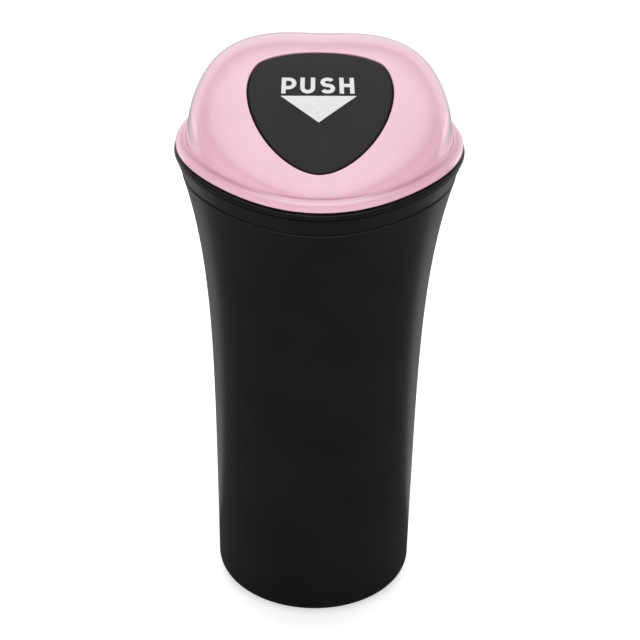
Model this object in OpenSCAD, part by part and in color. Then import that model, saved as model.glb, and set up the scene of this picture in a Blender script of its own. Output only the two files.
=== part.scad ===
// Car trash bin: flared barrel, clamp collar for the liner bag, lift-off dome lid
// with a sprung push flap. Front is -Y, up is +Z, origin under the middle of the base.

/* [Barrel] */
// Diameter of the base, which drops into a cup holder
base_d = 68.4; // [64:0.2:72]
// Height of the barrel up to its joint with the collar
barrel_h = 161.5; // [145:0.5:175]
// Draft of the lower wall, in degrees
draft_deg = 1; // [0.6:0.1:1.2]
// How late the wall flares out towards the rim
flare_power = 4.9; // [4.2:0.1:5.4]
// Wall of the barrel
wall = 2.2; // [1.8:0.1:2.6]
// Thickness of the floor
floor_t = 2.2; // [1.6:0.1:3]
// Rounding of the bottom edge
foot_round = 5; // [3:0.5:6]
// Width of the ring that the bin stands on
foot_w = 3; // [2:0.5:5]
// Height of the recess inside that ring
foot_recess = 1.6; // [1:0.2:2.4]
// Rounding where the wall meets the floor inside
floor_round = 3; // [2:0.5:5]

/* [Rim] */
// Mean diameter of the rim curve
rim_d = 94; // [90:0.5:98]
// How far the rim bulges out at the front, back and sides, and in between them in
rim_lobe = 1.25; // [0.6:0.05:1.4]

/* [Collar] */
// Height of the slanted band above the joint
band_h = 6.5; // [6:0.5:9]
// Height of the rounded bead that closes the collar
bead_h = 2.6; // [2.2:0.1:3.4]
// How far the bead stands out of the rim curve
bead_out = 0.5; // [0.3:0.1:0.8]
// How far the lower edge of the band stands out of the barrel
band_step = 0.35; // [0.2:0.05:0.5]
// Clearance between the barrel's top edge and each leg
leg_clear = 0.4; // [0.3:0.05:0.5]
// Thickness of the barrel's thinned top edge
lip_t = 1; // [0.8:0.1:1.2]
// Height of the hairline gap at the joint
joint_gap = 0.3; // [0.2:0.05:0.5]
// Length of the collar's inner leg inside the barrel
leg_h = 5; // [4:0.2:6]
// Distance of the collar's throat inside the rim curve
throat_in = 5.6; // [5.4:0.1:6.4]

/* [Lid] */
// Width of the bead round the foot of the dome
flange_w = 3.25; // [3:0.05:3.6]
// Height of that bead
flange_h = 3; // [2.8:0.1:3.4]
// Shadow gap between the collar and the edge of the lid
shadow_gap = 0.4; // [0.3:0.1:0.7]
// Height of the dome above its foot
dome_h = 27.6; // [26:0.2:29]
// How boxy the dome is between its foot and its top
dome_power = 3.4; // [3.1:0.1:3.7]
// How far the four corners of the dome grow out as it rises
dome_corner = 5.4; // [4:0.1:6.2]
// How far the dome fills out as it rises
dome_fill = 1.6; // [0.9:0.05:2]
// How much rounder the dome is at its front
dome_soft = 1.2; // [0.4:0.1:1.6]
// How much less the two front corners grow, as a share
front_ease = 0.3; // [0:0.05:0.5]
// Slope of the face that holds the flap, in degrees
slope_deg = 26.5; // [24:0.5:28]
// Distance of that face from the middle of the dome's foot
slope_dist = 21.2; // [20.6:0.1:21.6]
// Sharpness of the soft edge between the face and the dome
slope_blend = 12; // [10:1:16]
// Wall of the lid
lid_wall = 1.8; // [1.5:0.1:2]
// Length of the skirt that drops into the collar
skirt_h = 8.6; // [6:0.2:10]
// Clearance between skirt and collar
skirt_clear = 0.4; // [0.3:0.05:0.6]
// Thickness of the skirt
skirt_t = 1.6; // [1.2:0.1:2]

/* [Flap] */
// Mean radius of the three-lobed opening
mouth_r = 26.4; // [25.4:0.1:26.6]
// How much taller than wide it is, at each end
mouth_tall = 1.4; // [0.8:0.1:1.8]
// How far its three corners stand out
mouth_point = 2.3; // [1.8:0.1:2.6]
// How much its sides bulge between the corners
mouth_bulge = 0.4; // [0.2:0.05:0.5]
// Shift of the opening down the slope
mouth_shift = 0.3; // [0:0.1:1]
// Gap round the flap
flap_gap = 0.5; // [0.4:0.05:0.7]
// How deep the flap's face lies under the dome's surface
flap_recess = 0.25; // [0.1:0.05:0.4]
// Thickness of the flap's face
flap_t = 1.6; // [1.3:0.1:1.8]
// Width of the bevel round the face
flap_bevel = 0.5; // [0.3:0.1:0.8]
// How far the stop lip reaches behind the edge of the opening
lip_reach = 1.2; // [0.8:0.1:1.6]
// Clearance between the stop lip and the inside of the lid
lip_clear = 0.35; // [0.3:0.05:0.5]
// Thickness of the stop lip
stop_t = 1; // [0.8:0.1:1.2]

/* [Hinge] */
// Diameter of the hinge pin
pin_d = 2; // [1.6:0.1:2.2]
// Running clearance of the flap's knuckles on the pin
pin_clear = 0.06; // [0.03:0.01:0.1]
// Distance of the pin below the top edge of the flap
pin_below = 3; // [2.6:0.1:3.4]
// Depth of the pin under the flap's face
pin_depth = 4.85; // [4.7:0.05:5.2]
// Radius of the ears under the roof of the lid
ear_r = 2.2; // [1.9:0.1:2.3]
// Thickness of an ear
ear_t = 2.5; // [2:0.1:3]
// Middle of an ear, from the middle of the lid
ear_x = 13.1; // [12.5:0.1:14]
// Width of a knuckle on the flap
knuckle_w = 3; // [2.5:0.1:3.5]
// Side play between knuckle and ear
side_play = 0.3; // [0.2:0.05:0.4]
// Wire of the return spring
wire_d = 0.6; // [0.5:0.05:0.7]
// Mean radius of the spring's coil
coil_r = 2.1; // [1.9:0.05:2.2]
// Turns of the coil
coil_turns = 5; // [3:1:6]
// Length of the leg that pushes the flap up
front_leg = 9; // [6:0.5:12]
// Length of the leg that bears on the roof
rear_leg = 4.4; // [3.6:0.1:4.8]

/* [Hidden] */
// Points round every lofted ring
seg = 64;

base_r = base_d / 2;
rim_r = rim_d / 2;
crease_z = barrel_h + band_h;
collar_top = crease_z + bead_h;
flare = rim_r - base_r - crease_z * tan(draft_deg);

// Radius of the barrel's outer wall at a height and an angle round the axis
function wall_r(z, a) =
    base_r + z * tan(draft_deg) + (flare + rim_lobe * cos(4 * a)) * pow(z / crease_z, flare_power);

// Level ring that follows the outer wall as it is at height zr
function ring_at(z, off, zr) = [for (i = [0:seg - 1])
    let (a = i * 360 / seg, r = wall_r(zr, a) + off) [r * cos(a), r * sin(a), z]];
function wall_ring(z, off) = ring_at(z, off, z);
function rim_ring(z, off) = ring_at(z, off, crease_z);

// Soft step from 0 to 1
function ease(t) = let (c = min(max(t, 0), 1)) c * c * (3 - 2 * c);

// Skin over a list of rings: closed by its two end rings, or joined end to start
function skin_faces(n, count, loop) = [
    for (k = [0:loop ? count - 1 : count - 2], i = [0:n - 1])
        let (j = (i + 1) % n, a = k * n, b = ((k + 1) % count) * n)
        each [[a + i, b + i, b + j], [a + i, b + j, a + j]]];
function cap_face(n, start, flip) = flip
    ? [for (i = [n - 1:-1:0]) start + i]
    : [for (i = [0:n - 1]) start + i];
function reversed(l) = [for (i = [len(l) - 1:-1:0]) l[i]];
module skin(rings, loop = false) {
    n = len(rings[0]);
    count = len(rings);
    sides = skin_faces(n, count, loop);
    caps = loop ? [] : [cap_face(n, 0, false), cap_face(n, (count - 1) * n, true)];
    polyhedron([for (r = rings) each r], concat(sides, caps), convexity = 10);
}

// Barrel

lip_top = crease_z + 0.2;
lip_out = wall - lip_t;
floor_z = foot_recess + floor_t;
outer_steps = 11;
inner_steps = 9;
round_steps = 4;

module barrel() {
    foot_in = foot_round + foot_w;
    color([0.11, 0.11, 0.12])
    skin(concat(
        [ring_at(foot_recess, -foot_in - foot_recess, 0), ring_at(0, -foot_in, 0)],
        [for (k = [0:round_steps]) let (t = 90 * k / round_steps)
            wall_ring(foot_round * (1 - cos(t)), -foot_round * (1 - sin(t)))],
        [for (k = [1:outer_steps])
            wall_ring(foot_round + (barrel_h - foot_round) * sin(90 * k / outer_steps), 0)],
        [wall_ring(barrel_h, -lip_out), rim_ring(lip_top, -lip_out), rim_ring(lip_top, -wall)],
        [for (k = [inner_steps:-1:0])
            wall_ring(floor_z + floor_round
                + (barrel_h - floor_z - floor_round) * sin(90 * k / inner_steps), -wall)],
        [for (k = [1:round_steps - 1]) let (t = 90 * k / round_steps)
            wall_ring(floor_z + floor_round * (1 - sin(t)), -wall - floor_round * (1 - cos(t)))],
        [wall_ring(floor_z, -wall - floor_round)]
    ));
}

// Collar: an inverted channel whose web rests on the barrel's thinned top edge

leg_out = leg_clear - lip_out;
leg_in = -wall - leg_clear;
throat = -throat_in;
leg_z = lip_top - leg_h;

module bag_collar() {
    low_z = barrel_h + joint_gap;
    bead_mid = crease_z + bead_h / 2;
    groove = 0.25;
    soft = 0.4;
    color([0.1, 0.1, 0.11])
    skin([
        wall_ring(low_z, leg_out),
        wall_ring(low_z, band_step),
        wall_ring(low_z + band_h * 0.35, band_step * 0.6),
        wall_ring(low_z + band_h * 0.7, 0),
        rim_ring(crease_z - soft, -groove),
        rim_ring(crease_z, 0),
        rim_ring(crease_z + bead_h * 0.2, bead_out * 0.75),
        rim_ring(bead_mid, bead_out),
        rim_ring(collar_top - bead_h * 0.2, bead_out * 0.8),
        rim_ring(collar_top, -groove / 2),
        rim_ring(collar_top, throat + soft),
        rim_ring(collar_top - soft, throat),
        rim_ring(leg_z + soft, throat),
        rim_ring(leg_z, throat + soft),
        wall_ring(leg_z, leg_in - soft),
        wall_ring(leg_z + soft, leg_in),
        rim_ring(lip_top, leg_in),
        rim_ring(lip_top, leg_out)
    ], loop = true);
}

// Dome: a boxy shell seen from the middle of its foot, cut by a soft sloping face

dome_z = collar_top + shadow_gap + flange_h - 0.5;
dome_r = rim_r - flange_w;
// Below 1 the corners grow out early in the rise, above 1 late
fill_power = 0.75;
// How much crisper the soft edge is at the foot than at the top
foot_crisp = 2;
// The rounder front sets in between these two sines of the angle from the side
soft_from = 0.2;
soft_to = 0.9;
slope_n = [0, -sin(slope_deg), cos(slope_deg)];
slope_u = [0, cos(slope_deg), sin(slope_deg)];

// Radius of the dome's plan in direction a; s grows from 0 at the foot to 1 at the top
function plan_r(a, s, w) =
    dome_r - w + dome_fill * s
    + (rim_lobe - dome_corner * (1 + front_ease * sin(a)) * s) * cos(4 * a);
// Reach of the surface that lies w under the outside, in the direction of v
function reach(d, w) =
    let (
        a = atan2(d.y, d.x),
        z = max(d.z, 0),
        power = dome_power - dome_soft * ease((-sin(a) - soft_from) / (soft_to - soft_from)),
        side = norm([d.x, d.y]) / plan_r(a, pow(z, fill_power), w),
        shell = pow(pow(side, power) + pow(z / (dome_h - w), power), 1 / power),
        face = max(d * slope_n, 0) / (slope_dist - w),
        blend = slope_blend * (1 + foot_crisp * pow(1 - z, 8))
    ) pow(pow(shell, blend) + pow(face, blend), -1 / blend);
function on_dome(v, w) = let (d = v / norm(v)) d * reach(d, w) + [0, 0, dome_z];

// Three-lobed outline of the opening: p is its support in direction a, q its derivative
function outline(a, off) =
    let (
        b = a + 90,
        p = mouth_r + off + mouth_tall * cos(2 * b) + mouth_point * cos(3 * b)
            - mouth_bulge * cos(4 * b),
        q = -2 * mouth_tall * sin(2 * b) - 3 * mouth_point * sin(3 * b)
            + 4 * mouth_bulge * sin(4 * b)
    ) [p * cos(a) - q * sin(a), p * sin(a) + q * cos(a)];
// The same point on the sloping face, w deep, drawn in to the middle by k
function on_face(a, off, w, k = 1) =
    let (o = outline(a, off) * k)
    slope_n * (slope_dist - w) + slope_u * (o[1] - mouth_shift) + [o[0], 0, 0];
function foot_point(a, w) = plan_r(a, 0, w) * [cos(a), sin(a), 0];
// Ring of the dome between its foot (t = 0) and the edge of the opening (t = 1)
function dome_ring(t, w) = [for (i = [0:seg - 1])
    let (a = i * 360 / seg) on_dome((1 - t) * foot_point(a, w) + t * on_face(a, 0, w), w)];

dome_steps = 13;
under_steps = 9;

module lid_shell() {
    edge_z = collar_top + shadow_gap;
    skirt_out = throat - skirt_clear;
    skirt_in = skirt_out - skirt_t;
    skirt_z = collar_top - skirt_h;
    skin(reversed(concat(
        [for (k = [dome_steps:-1:0]) dome_ring(k / dome_steps, 0)],
        [
            rim_ring(edge_z + flange_h * 0.92, -flange_w * 0.78),
            rim_ring(edge_z + flange_h, -flange_w * 0.5),
            rim_ring(edge_z + flange_h * 0.9, -flange_w * 0.25),
            rim_ring(edge_z + flange_h * 0.65, -flange_w * 0.06),
            rim_ring(edge_z + flange_h * 0.3, 0),
            rim_ring(edge_z + flange_h * 0.08, -flange_w * 0.08),
            rim_ring(edge_z, -flange_w * 0.25),
            rim_ring(edge_z, -flange_w * 0.5),
            rim_ring(collar_top, -flange_w * 0.65),
            rim_ring(collar_top, skirt_out),
            rim_ring(skirt_z + 0.6, skirt_out),
            rim_ring(skirt_z, skirt_out - 0.4),
            rim_ring(skirt_z, skirt_in + 0.4),
            rim_ring(skirt_z + 0.6, skirt_in),
            rim_ring(collar_top + 1.2, skirt_in)
        ],
        [for (k = [0:under_steps]) dome_ring(k / under_steps, lid_wall)]
    )), loop = true);
}

// Hinge: the pin lies under the flap's face, just below its top edge

flap_top = outline(90, -flap_gap)[1] - mouth_shift;
axis_v = flap_top - pin_below;
axis_p = on_dome(slope_n * slope_dist + slope_u * axis_v, 0) - slope_n * pin_depth;
pin_r = pin_d / 2;
knuckle_x = ear_x - ear_t / 2 - side_play - knuckle_w / 2;

// Point of the surface w deep, v up the slope from the pin, seen from the pin
function over_pin(x, v, w) =
    on_dome(slope_n * slope_dist + slope_u * (axis_v + v) + [x, 0, 0], w) - axis_p;
// Plate w wide about x, its outline given as (y, z) about the pin
module across(x, w) {
    translate([x - w / 2, axis_p.y, axis_p.z]) rotate([90, 0, 90]) linear_extrude(w) children();
}
module pin_bore(r, x, w) {
    translate([x - w, axis_p.y, axis_p.z]) rotate([0, 90, 0]) cylinder(r = r, h = 2 * w, $fn = 48);
}

module ear(x) {
    roof_back = 9;
    root_r = 1.5;
    root = on_dome(axis_p + [x, roof_back, 0] - [0, 0, dome_z], lid_wall + 0.6) - axis_p;
    difference() {
        across(x, ear_t) hull() {
            circle(ear_r, $fn = 32);
            translate([root.y, root.z]) circle(root_r, $fn = 32);
            translate([root.y - 3, root.z - 0.4]) circle(root_r, $fn = 32);
        }
        pin_bore(pin_r + 0.03, x, ear_t);
    }
}

module lid_dome() {
    color([0.945, 0.784, 0.847]) {
        lid_shell();
        ear(-ear_x);
        ear(ear_x);
    }
}

module hinge_pin() {
    head_t = 0.8;
    head_r = 1.7;
    out = ear_x + ear_t / 2;
    color([0.72, 0.73, 0.75]) translate([0, axis_p.y, axis_p.z]) rotate([0, 90, 0]) {
        translate([0, 0, -out]) cylinder(r = pin_r, h = 2 * out + 0.6, $fn = 48);
        translate([0, 0, -out - head_t]) cylinder(r = head_r, h = head_t, $fn = 48);
    }
}

// Spring: a torsion coil round the pin, one leg under the flap and one under the roof

coil_pitch = wire_d * 1.5;
coil_steps = 12;

// Middle line of the wire, as [x, along the slope, out of the face] about the pin
wire_path = let (
    x0 = -coil_pitch * coil_turns / 2,
    roof = over_pin(-x0, rear_leg, lid_wall + wire_d / 2 + 0.1)
) concat(
    [[x0, -front_leg, coil_r], [x0, -front_leg / 2, coil_r]],
    [for (k = [0:coil_turns * coil_steps]) let (t = 360 * k / coil_steps)
        [x0 + coil_pitch * t / 360, coil_r * sin(t), coil_r * cos(t)]],
    [[-x0, roof * slope_u, roof * slope_n]]
);

// Eight-sided tube of radius r along a path that stays nearly across x
function tube_ring(p, dir, r) =
    let (x = [1, 0, 0], up = cross(dir, x) / norm(cross(dir, x)), side = cross(up, dir))
    [for (i = [0:7]) p + r * (side * cos(45 * i) + up * sin(45 * i))];

module return_spring() {
    n = len(wire_path);
    color([0.6, 0.61, 0.63])
    translate(axis_p) rotate([slope_deg, 0, 0])
        skin([for (k = [0:n - 1])
            let (d = wire_path[min(k + 1, n - 1)] - wire_path[max(k - 1, 0)])
            tube_ring(wire_path[k], d / norm(d), wire_d / 2)]);
}

// Flap: a shallow tray with a stop lip that fades out above the pin

face_steps = 4;
fade_up = axis_v + mouth_shift - 4.4;
fade_in = fade_up - 3;
fade_from = fade_in - 5.5;

// One ring of the flap; each of its sizes is [below the fade, above the fade]. The lip
// draws in first and rises after that, so that it clears the edge of the opening.
function flap_ring(off, w, k = 1) = [for (i = [0:seg - 1])
    let (
        a = i * 360 / seg,
        v = outline(a, 0)[1],
        o = off[0] + (off[1] - off[0]) * ease((v - fade_from) / (fade_in - fade_from)),
        d = w[0] + (w[1] - w[0]) * ease((v - fade_in) / (fade_up - fade_in))
    ) on_dome(on_face(a, o - flap_gap, d, k), d)];
function same(x) = [x, x];

module flap_shell() {
    back = flap_recess + flap_t;
    lip_w = lid_wall + lip_clear;
    rim_t = 1.9;
    skin(reversed(concat(
        [for (k = [1:face_steps]) flap_ring(same(-flap_bevel), same(flap_recess), k / face_steps)],
        [
            flap_ring(same(0), same(flap_recess + flap_bevel * 0.8)),
            flap_ring([0, 0], [lip_w, back * 0.7]),
            flap_ring([flap_gap + lip_reach, -0.1], [lip_w, back * 0.8]),
            flap_ring([flap_gap + lip_reach, -0.3], [lip_w + stop_t, back * 0.9]),
            flap_ring([-rim_t, -0.9], [lip_w + stop_t, back - 0.05]),
            flap_ring(same(-rim_t), same(back))
        ],
        [for (k = [face_steps - 1:-1:1]) flap_ring(same(-rim_t), same(back), k / face_steps)]
    )));
}

module knuckle(x) {
    knuckle_r = 2.3;
    foot_r = 0.6;
    front = over_pin(x, -7, flap_recess + flap_t);
    back = over_pin(x, 0.5, flap_recess + flap_t);
    difference() {
        across(x, knuckle_w) hull() {
            circle(knuckle_r, $fn = 32);
            translate([front.y, front.z]) circle(foot_r, $fn = 32);
            translate([back.y, back.z]) circle(foot_r, $fn = 32);
        }
        pin_bore(pin_r + pin_clear, x, knuckle_w);
    }
}

module push_flap() {
    color([0.2, 0.2, 0.21]) {
        flap_shell();
        knuckle(-knuckle_x);
        knuckle(knuckle_x);
    }
}

barrel();
bag_collar();
lid_dome();
hinge_pin();
return_spring();
push_flap();
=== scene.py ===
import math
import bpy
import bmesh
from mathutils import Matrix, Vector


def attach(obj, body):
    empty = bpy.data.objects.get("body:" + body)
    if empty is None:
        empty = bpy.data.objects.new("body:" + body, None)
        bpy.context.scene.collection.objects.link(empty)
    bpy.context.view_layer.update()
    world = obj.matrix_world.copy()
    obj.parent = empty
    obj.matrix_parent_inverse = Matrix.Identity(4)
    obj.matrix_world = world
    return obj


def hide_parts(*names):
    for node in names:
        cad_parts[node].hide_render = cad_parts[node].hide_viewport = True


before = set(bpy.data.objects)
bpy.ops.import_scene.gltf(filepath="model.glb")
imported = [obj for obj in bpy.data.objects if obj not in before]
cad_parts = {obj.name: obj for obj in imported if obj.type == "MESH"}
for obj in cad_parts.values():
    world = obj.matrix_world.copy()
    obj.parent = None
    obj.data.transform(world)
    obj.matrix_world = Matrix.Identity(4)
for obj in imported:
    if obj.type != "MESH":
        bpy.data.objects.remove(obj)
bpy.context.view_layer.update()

# %% [markdown]
# ## A small waste bin for a car's cup holder
# The bin is a slim black tub that flares into a rounded-square rim. A black collar clamps
# the liner bag over that rim, and a polished pink dome lid plugs into the collar. The dome
# has a sloping face with a charcoal flap that is pushed in with the hand and springs back.
# The lines above load the exact CAD model. Its solids carry the sizes and the motion; this
# file builds the same surfaces again with many more points, adds small roundings and the
# printed mark, and gives every piece its finish. All sizes below are millimetres, and a
# mesh is turned into metres at the moment it is made.

MM = 0.001

# %% [markdown]
# ### Camera
# The picture was taken from in front and above with a long lens, so that the rim is seen
# as a shallow curve. The camera comes first, because every later look at a shape depends
# on it. Its place was found by fitting the rim, the base and the lid in the photograph; it
# is tilted by less than a degree, as the photograph is, and shifted by a few pixels.

# %% Camera
PICTURE = 640
FOCAL_PX = 2700.0
SENSOR = 36.0
camera_place = Vector((0.0, -0.8038, 0.5906))
pitch = math.radians(31.29)
roll = math.radians(0.87)
left_of_centre_px = 3.17

forward = Vector((0.0, math.cos(pitch), -math.sin(pitch)))
level_right = Vector((1.0, 0.0, 0.0))
level_up = Vector((0.0, math.sin(pitch), math.cos(pitch)))
rightward = math.cos(roll) * level_right + math.sin(roll) * level_up
upward = -math.sin(roll) * level_right + math.cos(roll) * level_up

camera_data = bpy.data.cameras.new("camera")
camera_data.sensor_width = SENSOR
camera_data.lens = FOCAL_PX / PICTURE * SENSOR
camera_data.shift_x = left_of_centre_px / PICTURE
camera_data.clip_start = 0.01
camera_data.clip_end = 50.0
camera = bpy.data.objects.new("camera", camera_data)
bpy.context.scene.collection.objects.link(camera)
turn = Matrix((rightward, upward, -forward)).transposed().to_4x4()
camera.matrix_world = Matrix.Translation(camera_place) @ turn
bpy.context.scene.camera = camera
print("lens", round(camera_data.lens, 1), "mm")

# %% [markdown]
# ### Sizes
# The same named sizes as in the CAD source. The tub's wall follows one rule: a slight
# draft all the way up, plus a flare that grows with a high power of the height, so the
# wall stays nearly straight and then sweeps out at the rim. Four gentle lobes that come in
# with the flare turn the round base into the rounded-square rim.

# %% Sizes of the tub and the rim
BASE_R = 34.2
BARREL_H = 161.5
BAND_H = 6.5
BEAD_H = 2.6
CREASE_Z = BARREL_H + BAND_H
COLLAR_TOP = CREASE_Z + BEAD_H
DRAFT = math.tan(math.radians(1.0))
FLARE_POWER = 4.9
RIM_R = 47.0
LOBES = 4
LOBE = 1.25
FLARE = RIM_R - BASE_R - CREASE_Z * DRAFT
WALL = 2.2


def wall_radius(z, a):
    """Radius of the outer wall at height z and angle a."""
    grown = (z / CREASE_Z) ** FLARE_POWER
    return BASE_R + z * DRAFT + (FLARE + LOBE * math.cos(LOBES * a)) * grown


print("radius at the base", BASE_R, "and at the rim", round(wall_radius(CREASE_Z, 0), 2))

# %% [markdown]
# ### A node tree written as sums
# Both the geometry rules and the materials are node trees with a lot of arithmetic. The
# class below wraps one output socket, so that `base + height * draft` adds the Math nodes
# by itself. Any other node comes from `add`, which takes the node's type, its settings and
# what goes into its sockets; the two nodes that split a vector and put one together have a
# short name of their own.

# %% Sockets that can be added and multiplied
class Tree:
    """A node tree and the one way to put a node into it."""

    def __init__(self, tree):
        self.tree = tree

    def add(self, kind, settings=None, sockets=None, out=0):
        node = self.tree.nodes.new(kind)
        for name, value in (settings or {}).items():
            setattr(node, name, value)
        for key, value in (sockets or {}).items():
            if isinstance(value, Socket):
                self.tree.links.new(value.socket, node.inputs[key])
            else:
                node.inputs[key].default_value = value
        return Socket(self, node, node.outputs[out])

    def maths(self, operation, *values):
        return self.add("ShaderNodeMath", {"operation": operation}, dict(enumerate(values)))

    def split(self, vector):
        x = self.add("ShaderNodeSeparateXYZ", None, {0: vector})
        return x, x.pick("Y"), x.pick("Z")

    def vector(self, x, y, z):
        return self.add("ShaderNodeCombineXYZ", None, {0: x, 1: y, 2: z})


class Socket:
    """One output of a node, usable in plain arithmetic."""

    def __init__(self, tree, node, socket):
        self.tree = tree
        self.node = node
        self.socket = socket

    def pick(self, name):
        return Socket(self.tree, self.node, self.node.outputs[name])

    def cos(self):
        return self.tree.maths("COSINE", self)

    def sin(self):
        return self.tree.maths("SINE", self)

    def ramp(self, low, high, start=0.0, end=1.0):
        """Smooth rise from start to end as the value goes from low to high."""
        settings = {"interpolation_type": "SMOOTHSTEP"}
        return self.tree.add("ShaderNodeMapRange", settings,
                             {0: self, 1: low, 2: high, 3: start, 4: end})


def operator(operation, reflected=False):
    def apply(self, other):
        pair = (other, self) if reflected else (self, other)
        return self.tree.maths(operation, *pair)
    return apply


# Python calls __add__ for socket + 1 and the reflected __radd__ for 1 + socket.
for word, operation in (("add", "ADD"), ("sub", "SUBTRACT"), ("mul", "MULTIPLY"),
                        ("truediv", "DIVIDE")):
    setattr(Socket, f"__{word}__", operator(operation))
    setattr(Socket, f"__r{word}__", operator(operation, reflected=True))
for word, operation in (("pow", "POWER"), ("lt", "LESS_THAN"), ("gt", "GREATER_THAN")):
    setattr(Socket, f"__{word}__", operator(operation))
print("socket wrapper ready")

# %% [markdown]
# ### Turning work with lobes
# The tub and the collar are both a section carried once round the axis, except that the
# radius swells four times on the way. A modeller could spin the section and then pull the
# sides out by hand; a Geometry Nodes tree does it by rule, so section and lobes stay
# separate and exact. The section comes in as a line of points whose three coordinates are
# used as numbers: the distance from the wall's rule, the height, and the height at which
# the rule is read. The tree lays a grid round the axis, gives each row its section point,
# and merges the seam.

# %% Geometry Nodes: a section carried round a lobed wall
AROUND = 256
WELD = 0.00002


def group_input(group, name, kind, value=None):
    made = group.interface.new_socket(name, in_out="INPUT", socket_type=kind)
    if value is not None:
        made.default_value = value
    return made.identifier


def open_rule(name, feed, whole, measures):
    """Tree with named inputs: the geometry called feed, whole numbers and measures."""
    group = bpy.data.node_groups.new(name, "GeometryNodeTree")
    group.interface.new_socket("Mesh", in_out="OUTPUT", socket_type="NodeSocketGeometry")
    keys = {feed: group_input(group, feed, "NodeSocketGeometry"),
            "Finish": group_input(group, "Finish", "NodeSocketMaterial")}
    for kind, values in (("NodeSocketInt", whole), ("NodeSocketFloat", measures)):
        for label, value in values.items():
            keys[label] = group_input(group, label, kind, value)
    return group, keys


def close_rule(tree, start, geometry):
    """End of a tree: instances made real, one finish, and the output."""
    real = tree.add("GeometryNodeRealizeInstances", None, {"Geometry": geometry})
    done = tree.add("GeometryNodeSetMaterial", None,
                    {"Geometry": real, "Material": start.pick("Finish")})
    end = tree.tree.nodes.new("NodeGroupOutput")
    tree.tree.links.new(done.socket, end.inputs[0])


def lobed_turning():
    """Tree that carries a section round the lobed wall, and the keys of its inputs."""
    group, keys = open_rule("lobed_turning", "Section", {"Around": AROUND},
                            {"Base radius": BASE_R, "Draft": DRAFT, "Flare": FLARE,
                             "Flare power": FLARE_POWER, "Lobe": LOBE, "Rim height": CREASE_Z})
    tree = Tree(group)
    start = tree.add("NodeGroupInput")
    section = start.pick("Section")
    rows = tree.add("GeometryNodeAttributeDomainSize", {"component": "MESH"},
                    {"Geometry": section})
    grid = tree.add("GeometryNodeMeshGrid", None,
                    {"Size X": 1.0, "Size Y": 1.0, "Vertices X": rows,
                     "Vertices Y": start.pick("Around") + 1})
    place = tree.add("GeometryNodeInputPosition")
    up_grid, round_grid = tree.split(place)[:2]
    row = tree.maths("ROUND", (up_grid + 0.5) * (rows - 1))
    angle = (round_grid + 0.5) * math.tau
    sample = tree.add("GeometryNodeSampleIndex", {"data_type": "FLOAT_VECTOR", "domain": "POINT"},
                      {"Geometry": section, "Value": place, "Index": row})
    out, height, read_at = tree.split(sample)
    grown = (read_at / start.pick("Rim height")) ** start.pick("Flare power")
    swell = start.pick("Flare") + start.pick("Lobe") * (angle * LOBES).cos()
    radius = out + start.pick("Base radius") + read_at * start.pick("Draft") + swell * grown
    spot = tree.vector(radius * angle.cos() * MM, radius * angle.sin() * MM, height * MM)
    shaped = tree.add("GeometryNodeSetPosition", None, {"Geometry": grid, "Position": spot})
    welded = tree.add("GeometryNodeMergeByDistance", None,
                      {"Geometry": shaped, "Distance": WELD})
    close_rule(tree, start, welded)
    return group, keys


TURNING, TURNING_KEYS = lobed_turning()
print("lobed turning:", len(TURNING.nodes), "nodes")

# %% [markdown]
# ### From a tree to a plain piece
# The modifier is only a maker's tool. Its result is taken as a plain mesh, its faces are
# turned outwards where the enclosed volume comes out negative, and edges sharper than a
# given angle stay crisp while the rest is shaded smooth.

# %% Helpers that finish a mesh
CRISP = 35.0


def facing_out(mesh):
    """Turn every closed part of a mesh outwards, by the sign of its own volume."""
    shape = bmesh.new()
    shape.from_mesh(mesh)
    left = set(shape.faces)
    while left:
        part = [left.pop()]
        at = 0
        while at < len(part):
            for edge in part[at].edges:
                for face in edge.link_faces:
                    if face in left:
                        left.discard(face)
                        part.append(face)
            at += 1
        volume = 0.0
        for face in part:
            centre = face.calc_center_median()
            volume += face.normal.dot(centre) * face.calc_area()
        if volume < 0:
            bmesh.ops.reverse_faces(shape, faces=part)
    shape.to_mesh(mesh)
    shape.free()
    mesh.update()


def finish_mesh(mesh, crisp=CRISP):
    facing_out(mesh)
    mesh.shade_smooth()
    mesh.set_sharp_from_angle(angle=math.radians(crisp))


def link(name, mesh):
    piece = bpy.data.objects.new(name, mesh)
    bpy.context.scene.collection.objects.link(piece)
    return piece


def grown_by_nodes(name, source, group, keys, values, crisp=CRISP):
    """Run a Geometry Nodes tree on a mesh and keep only its result."""
    maker = link(name + "_maker", source)
    modifier = maker.modifiers.new("rule", "NODES")
    modifier.node_group = group
    for key, value in values.items():
        modifier[keys[key]] = value
    seen = maker.evaluated_get(bpy.context.evaluated_depsgraph_get())
    mesh = bpy.data.meshes.new_from_object(seen)
    maker.modifiers.clear()
    bpy.data.objects.remove(maker)
    mesh.name = name
    finish_mesh(mesh, crisp)
    print(name, len(mesh.polygons), "faces")
    return link(name, mesh)


def turned(name, points, finish, crisp=CRISP):
    """Piece from a section: (distance from the wall, height, height that is read)."""
    section = bpy.data.meshes.new(name + "_section")
    edges = [(i, i + 1) for i in range(len(points) - 1)]
    section.from_pydata([Vector(p) for p in points], edges, [])
    return grown_by_nodes(name, section, TURNING, TURNING_KEYS,
                          {"Around": AROUND, "Finish": finish}, crisp)


print("edges sharper than", CRISP, "degrees stay crisp")

# %% [markdown]
# ### Finishes
# There are black, pink and charcoal plastics, a pale ink and a bright steel on the bin.
# None of them is one flat colour: the black tub has a very fine moulded grain that breaks
# up its reflections, the lid is a clear-coated pastel with faint flow marks from moulding,
# and the flap has a coarser spark texture. Each one is built from noise at the real scale
# of that texture and drives only colour, roughness and a bump.

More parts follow.
